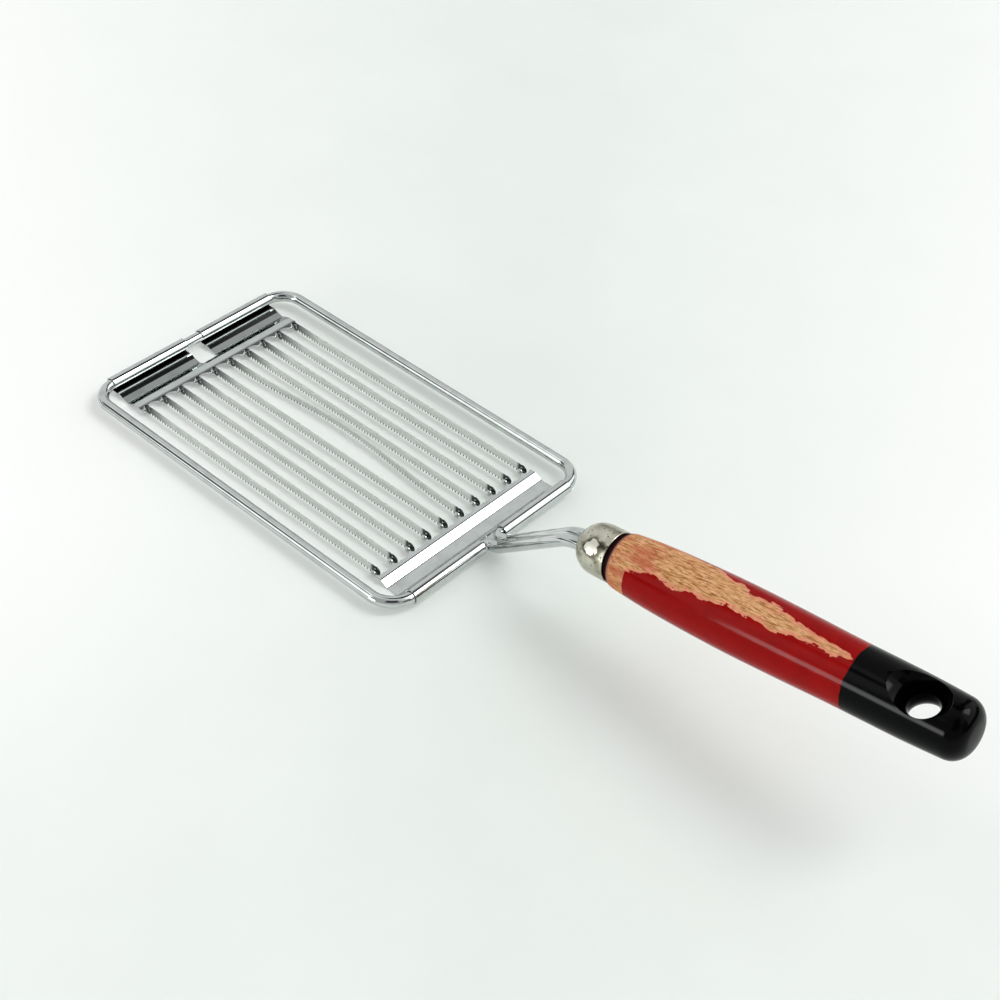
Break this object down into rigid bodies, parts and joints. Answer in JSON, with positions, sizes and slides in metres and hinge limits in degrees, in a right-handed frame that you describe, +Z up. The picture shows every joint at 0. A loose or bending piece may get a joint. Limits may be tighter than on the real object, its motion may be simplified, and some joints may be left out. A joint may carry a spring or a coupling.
{
  "type": "tomato slicer",
  "caption": "Flat wire-framed slicing head with parallel serrated blades strung between two comb plates, on a cranked shank with a turned wooden handle and a hanging hole.",
  "frame": {"origin": "on the plane that the head rests on, under the middle of the tool's bounding box", "axes": "+X from the slicing head to the handle, +Y across the head, +Z up"},
  "size_m": [0.3368, 0.0974, 0.0584],
  "materials": {
    "frame_chrome": "bright chrome plate on steel wire",
    "plate_chrome": "bright chrome plate on pressed sheet steel",
    "blade_steel": "satin rolled steel strip",
    "ferrule_nickel": "aged nickel plate, dull and pitted",
    "handle_enamel": "gloss red enamel with a black end, worn to bare wood on top"
  },
  "bodies": {
    "root": {"frame_wire": "frame_chrome", "far_end_plate": "plate_chrome", "near_end_plate": "plate_chrome", "blade_01": "blade_steel", "blade_02": "blade_steel", "blade_03": "blade_steel", "blade_04": "blade_steel", "blade_05": "blade_steel", "blade_06": "blade_steel", "blade_07": "blade_steel", "blade_08": "blade_steel", "blade_09": "blade_steel", "blade_10": "blade_steel", "ferrule": "ferrule_nickel", "handle": "handle_enamel"}
  },
  "joints": []
}
